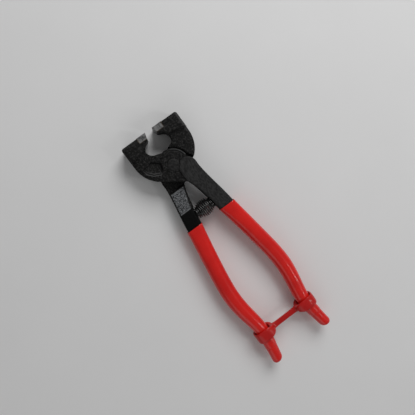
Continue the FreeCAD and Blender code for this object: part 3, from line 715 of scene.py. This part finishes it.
def coil_spring(finish):
    """Barrel spring: closed end coils, wider in the middle."""
    low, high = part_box("return_spring")
    centre = (low + high) / 2
    wire, turns = 0.55, 9.3
    half = (high.x - low.x) / 2 / MM - wire
    end, middle = 4.4 - wire, (high.y - low.y) / 2 / MM - wire
    shoulder = middle - 0.5
    radii = [end, end, shoulder, middle, shoulder, end, end]
    knees = [0, 1.3, 2.5, turns / 2, turns - 2.5, turns - 1.3, turns]
    closed = 2.08 * wire               # how far the first and last coils run on, onto the next one
    runs = [0, closed, 2 * half - closed, 2 * half]
    line, per_turn, first_angle = [], 40, 0.6
    for i in range(int(turns * per_turn) + 1):
        turn = i / per_turn
        along = np.interp(turn, [0, 1, turns - 1, turns], runs) - half
        radius = np.interp(turn, knees, radii)
        angle = 2 * math.pi * turn + first_angle
        line.append(centre + Vector((along, radius * math.cos(angle), radius * math.sin(angle))) * MM)
    obj = mesh_object("return_spring_coils", *skin(tube(line, wire * MM, 12)))
    finish_piece(obj, finish, "return_spring", None)
    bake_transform(obj)


# ---------------------------------------------------------------- grips

# distance behind the pivot, middle x, width, middle z, thickness, squareness
GRIP_STATIONS = [
    (43.0, 13.65, 12.3, 0.9, 10.2, 4.0),
    (48.0, 14.55, 12.2, 0.9, 10.3, 3.2),
    (60.0, 16.65, 12.0, 0.9, 10.6, 2.35),
    (80.0, 19.9, 11.8, 0.5, 10.8, 2.2),
    (101.0, 21.9, 11.5, 0.2, 10.6, 2.2),
    (118.0, 20.2, 10.9, 0.0, 10.2, 2.2),
    (130.5, 18.75, 10.0, 0.0, 9.6, 2.2),
    (143.5, 19.85, 9.2, 0.0, 8.9, 2.2),
    (157.5, 22.1, 8.3, 0.0, 8.0, 2.2),
]
MOUTH, GRIP_END = GRIP_STATIONS[0][0], GRIP_STATIONS[-1][0]
GRIP_SIDES = 72
LIP_ROUND, TIP_ROUND = 0.35, 3.6
CREASE_AT = 144.6


def grip_ring(curves, back, inset=0.0, scale=1.0):
    """One section of the grip, in the pivot frame, shrunk by inset and scale."""
    mid, wide, level, thick, square = (curve(back) for curve in curves)
    a, b = (wide / 2 - inset) * scale, (thick / 2 - inset) * scale
    ring = []
    for i in range(GRIP_SIDES):
        angle = 2 * math.pi * i / GRIP_SIDES
        x = mid + a * signed_power(math.cos(angle), 2 / square)
        z = level + b * signed_power(math.sin(angle), 2 / square)
        ring.append(Vector((x, -back, z)))
    return ring


def mouth_rings(curves):
    """From inside the sleeve, out round its rolled lip."""
    rings = [grip_ring(curves, MOUTH + 5.0, 0.75), grip_ring(curves, MOUTH + 0.3, 0.70)]
    for degrees in range(0, 91, 15):
        angle = math.radians(degrees)
        back = MOUTH + LIP_ROUND * (1 - math.sin(angle))
        rings.append(grip_ring(curves, back, LIP_ROUND * math.cos(angle)))
    return rings


def sleeve_rings(curves):
    """Along the sleeve, past the bead behind its lip and its crease, and round its tip."""
    rings, back = [], MOUTH + 0.6
    while back < GRIP_END - TIP_ROUND:
        bead = -0.10 * math.exp(-((back - MOUTH - 0.7) / 0.9) ** 2)
        crease = 0.32 * math.exp(-((back - CREASE_AT) / 0.35) ** 2)
        shoulder = 0.22 / (1 + math.exp(-(back - CREASE_AT) / 0.18))
        rings.append(grip_ring(curves, back, bead + crease + shoulder - 0.02))
        fine = abs(back - CREASE_AT) < 2.0 or back < MOUTH + 2
        back += 0.3 if fine else 1.0
    for i in range(12):
        angle = math.radians(90 * i / 12)
        back = GRIP_END - TIP_ROUND * (1 - math.sin(angle))
        rings.append(grip_ring(curves, back, 0.2, math.cos(angle) ** 0.9))
    return rings


def make_wavy(ring, flipped):
    """Swell and sink a section a little, as a dipped skin does."""
    centre = sum(ring, Vector()) / len(ring)
    start = Vector((3.1 if flipped else 9.7, 0, 0))     # so that the two grips differ
    for p in ring:
        wave = noise.noise(Vector((p.x * 0.08, p.y * 0.05, p.z * 0.08)) + start)
        p += (p - centre).normalized() * 0.10 * wave


def dipped_grip(side, flipped, body, finish):
    """A dipped sleeve: rolled mouth, wavy skin, a crease and a rounded tip."""
    stations = list(zip(*GRIP_STATIONS))
    curves = [spline(stations[0], column) for column in stations[1:]]
    sleeve = sleeve_rings(curves)
    for ring in sleeve:
        make_wavy(ring, flipped)
    placed = [[place(p, flipped) for p in ring] for ring in mouth_rings(curves) + sleeve]
    obj = mesh_object(side + "_grip_dipped", *skin(placed))
    finish_piece(obj, finish, side + "_grip", body)


# ---------------------------------------------------------------- keeper strap

STRAP_AT, HANDLE_X = 134.0, 19.0                        # behind the pivot, and the handles' middles
RING_SIDES, HOLE_SIDES = (9.8, 25.7), (13.2, 24.2)      # inner and outer side, from the middle
RING_TALL, HOLE_TALL = 13.4, 10.4
RING_LONG, RING_WAIST = 8.0, 3.0       # along the handle, and how much shorter it is at the band
RING_POWER, HOLE_POWER = 0.78, 0.72    # how boxy the ring and its hole are
BAND_WIDE, BAND_THICK, BAND_FLARE = 3.9, 2.3, 0.9
STRAP_VOXEL = 0.24


def boxed(angle, sides, tall, power):
    """A point at that angle on a rounded box across the handle."""
    low, high = sides
    x = (low + high) / 2 + (high - low) / 2 * signed_power(math.cos(angle), power)
    return Vector((x, tall / 2 * signed_power(math.sin(angle), power)))


def strap_ring(sign):
    """A loose ring, shorter at the band, with rounded rims."""
    rings, around, section = [], 96, 20
    for i in range(around):
        angle = 2 * math.pi * i / around
        inner = boxed(angle, HOLE_SIDES, HOLE_TALL, HOLE_POWER)
        outer = boxed(angle, RING_SIDES, RING_TALL, RING_POWER)
        length = RING_LONG - RING_WAIST * max(0.0, -math.cos(angle)) ** 2.5
        ring = []
        for k in range(section):
            a = 2 * math.pi * k / section
            share = signed_power(math.cos(a), 0.7) / 2 + 0.5
            run = signed_power(math.sin(a), 0.6) * length / 2
            x, z = inner.lerp(outer, share)
            ring.append(place((sign * x, run - STRAP_AT, z)))
        rings.append(ring)
    return mesh_object("ring", *skin(rings, closed=True))


def strap_band():
    """The flat band, flared where it runs into the rings."""
    reach, rings, spans, section = RING_SIDES[0] + 1.0, [], 40, 24
    for i in range(spans + 1):
        x = -reach + 2 * reach * i / spans
        flare = ((abs(x) / reach) ** 8) * BAND_FLARE
        ring = []
        for k in range(section):
            a = 2 * math.pi * k / section
            y = signed_power(math.cos(a), 0.5) * (BAND_WIDE / 2 + flare * 0.6)
            z = signed_power(math.sin(a), 0.6) * (BAND_THICK / 2 + flare)
            ring.append(place((x, y - STRAP_AT, z)))
        rings.append(ring)
    return mesh_object("band", *skin(rings))


def keeper_strap(finish):
    """Both rings and the band as one moulding, the band running between the handles."""
    obj = join("keeper_strap_moulded", [strap_ring(-1), strap_ring(1), strap_band()])
    soften(obj, STRAP_VOXEL, 6)
    finish_piece(obj, finish, "keeper_strap", None)
    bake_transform(obj)


# ---------------------------------------------------------------- stage

CAMERA_AT = (-13.1, 56.8, 283.6)       # row frame, millimetres
CAMERA_LOOK = (0.05372, -0.10541, -0.99298)
CAMERA_UP = (0.59509, 0.80191, -0.05293)
FOCAL_PIXELS, IMAGE_PIXELS, SENSOR = 400.0, 415.0, 36.0    # pixels, pixels and millimetres

# name: place, aim and size in metres, power in watts
LIGHTS = {
    "key": ((0.55, 0.47, 0.60), (0, 0, 0), (0.60, 0.50), 5.0),
    "fill": ((-0.48, -0.52, 0.45), (0, 0, 0), (0.6, 0.5), 0.7),
    "strip": ((0.36, -0.36, 0.58), (0, -0.05, 0), (0.02, 0.16), 0.28),
    "tip_strip": ((0.66, -0.60, 0.46), (0, -0.08, 0), (0.02, 0.3), 0.45),
}
FLOOR_HALF = 3.0
ROOM_LIGHT = 0.20


def photo_camera():
    """The camera at the photograph's viewing angle."""
    look, up = Vector(CAMERA_LOOK).normalized(), Vector(CAMERA_UP)
    right = look.cross(up).normalized()
    up = right.cross(look)
    data = bpy.data.cameras.new("camera")
    data.sensor_width = SENSOR
    data.lens = FOCAL_PIXELS / IMAGE_PIXELS * SENSOR
    data.clip_start, data.clip_end = 0.01, 10
    turn = Matrix((right, up, -look)).transposed()
    camera = new_object("camera", data)
    camera.matrix_world = Matrix.Translation(Vector(CAMERA_AT) * MM) @ turn.to_4x4()
    bpy.context.scene.camera = camera


def area_light(name, at, aim, size, power):
    """A soft white box or strip."""
    data = bpy.data.lights.new(name, "AREA")
    data.shape = "RECTANGLE"
    data.size, data.size_y = size
    data.energy = power
    light = new_object(name, data)
    light.location = at
    light.rotation_euler = (Vector(aim) - Vector(at)).to_track_quat("-Z", "Y").to_euler()


def studio():
    """Pale floor, a pale room, two soft boxes and two narrow strips."""
    corners = [(-1, -1), (1, -1), (1, 1), (-1, 1)]
    points = [(x * FLOOR_HALF, y * FLOOR_HALF, 0) for x, y in corners]
    floor = mesh_object("floor", points, [(0, 1, 2, 3)])
    floor.data.materials.append(floor_finish())
    world = bpy.data.worlds.new("room")
    world.use_nodes = True
    room = world.node_tree.nodes["Background"]
    room.inputs["Color"].default_value = (1.0, 1.0, 1.0, 1)
    room.inputs["Strength"].default_value = ROOM_LIGHT
    bpy.context.scene.world = world
    for name, light in LIGHTS.items():
        area_light(name, *light)
    bpy.context.scene.view_settings.view_transform = "Standard"


# ---------------------------------------------------------------- the object

photo_camera()
studio()

steel_pin = blacked_steel("rivet_steel", level=0.008, rough=0.46, pits_mm=0.14)
spring_wire = blacked_steel("spring_wire", level=0.003, rough=0.30, pits_mm=0.004, oil=0.8)
ground_carbide, seam = carbide(), braze()
grip_vinyl = vinyl("grip_vinyl", GRIP_RED, GRIP_SHADE, rough=0.26, coat=0.55)
strap_vinyl = vinyl("strap_vinyl", STRAP_RED, STRAP_SHADE, rough=0.32, coat=0.3)

# a half, the sides that its jaw and its arm are on, and whether it is turned over
for half, jaw_side, arm_side, flipped in ((UPPER, "left", "right", False),
                                          (LOWER, "right", "left", True)):
    forged_half(half, flipped)
    carbide_tip(jaw_side, half, ground_carbide)
    braze_seam(jaw_side, half, seam)
    spring_peg(arm_side, half, steel_pin)
    dipped_grip(arm_side, flipped, half, grip_vinyl)
rivet(steel_pin)
coil_spring(spring_wire)
keeper_strap(strap_vinyl)
